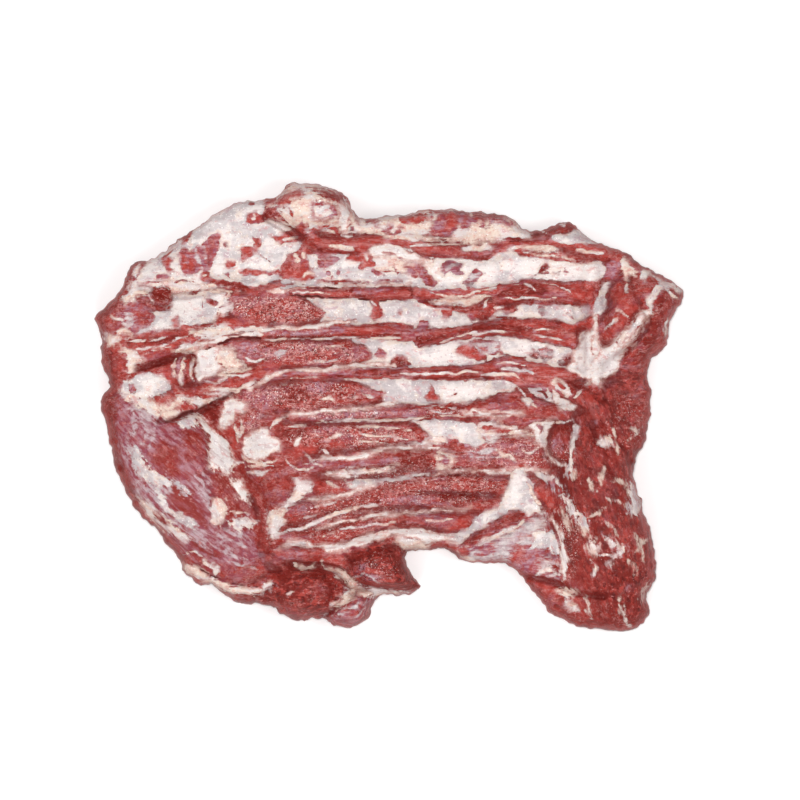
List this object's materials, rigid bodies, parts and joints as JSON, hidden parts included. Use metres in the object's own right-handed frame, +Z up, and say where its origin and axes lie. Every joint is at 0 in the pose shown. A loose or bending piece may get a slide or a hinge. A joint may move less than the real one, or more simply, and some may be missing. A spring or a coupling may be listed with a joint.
{
  "type": "raw buffalo forequarter",
  "caption": "Boned forequarter of raw buffalo meat laid flat, rib side up, with a domed shoulder, sunken rib beds between strips of meat, and neck muscles.",
  "frame": {"origin": "centre of the bounding box, at the height of the surface that the meat lies on", "axes": "+X along the ribs towards the neck, +Y towards the fat-covered upper edge, +Z up out of the rib side"},
  "size_m": [0.8224, 0.6266, 0.11],
  "materials": {
    "raw_meat": "moist, satin to glossy, red meat with cream fat and grey fascia"
  },
  "bodies": {
    "root": {"forequarter": "raw_meat"}
  },
  "joints": []
}
